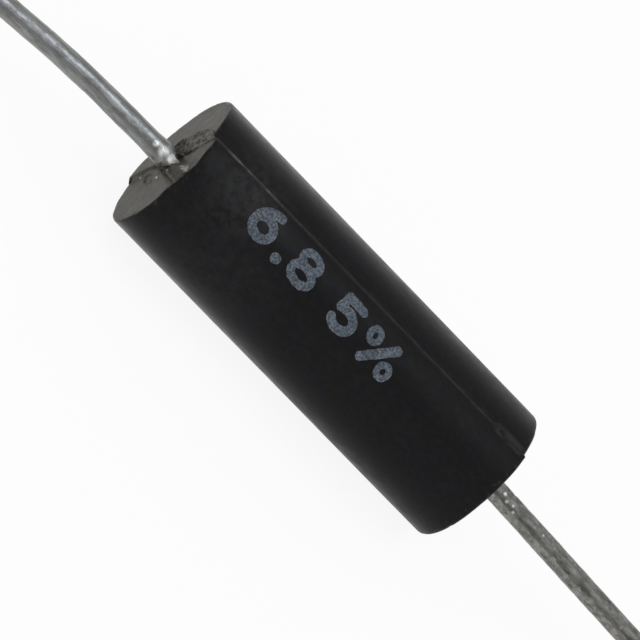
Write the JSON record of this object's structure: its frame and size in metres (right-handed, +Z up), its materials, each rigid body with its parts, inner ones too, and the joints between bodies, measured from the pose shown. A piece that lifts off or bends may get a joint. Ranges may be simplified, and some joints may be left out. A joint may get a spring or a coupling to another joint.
{
  "type": "axial resistor",
  "caption": "Black moulded cylindrical axial resistor, wound on a ceramic core, with a bare tinned wire lead out of each end, bent slightly down to the surface that it lies on.",
  "frame": {"origin": "middle of the moulded barrel, on its axis", "axes": "+X along the barrel towards the right lead, +Z up from the surface that the part lies on; the leads bend towards -Y and -Z, and both tips touch that surface"},
  "size_m": [0.0914, 0.0057, 0.0054],
  "materials": {
    "moulding": "black thermoset moulding compound, satin",
    "core": "unglazed",
    "resistance_alloy": "drawn wire",
    "cap_steel": "drawn, plated",
    "left_tinned_wire": "solder-coated copper, bright and streaked",
    "right_tinned_wire": "solder-coated copper, dull and pitted",
    "marking": "stamped ink, speckled"
  },
  "bodies": {
    "root": {"moulded_body": "moulding", "ceramic_core": "core", "resistance_wire": "resistance_alloy", "left_end_cap": "cap_steel", "right_end_cap": "cap_steel", "left_lead": "left_tinned_wire", "right_lead": "right_tinned_wire"}
  },
  "joints": []
}
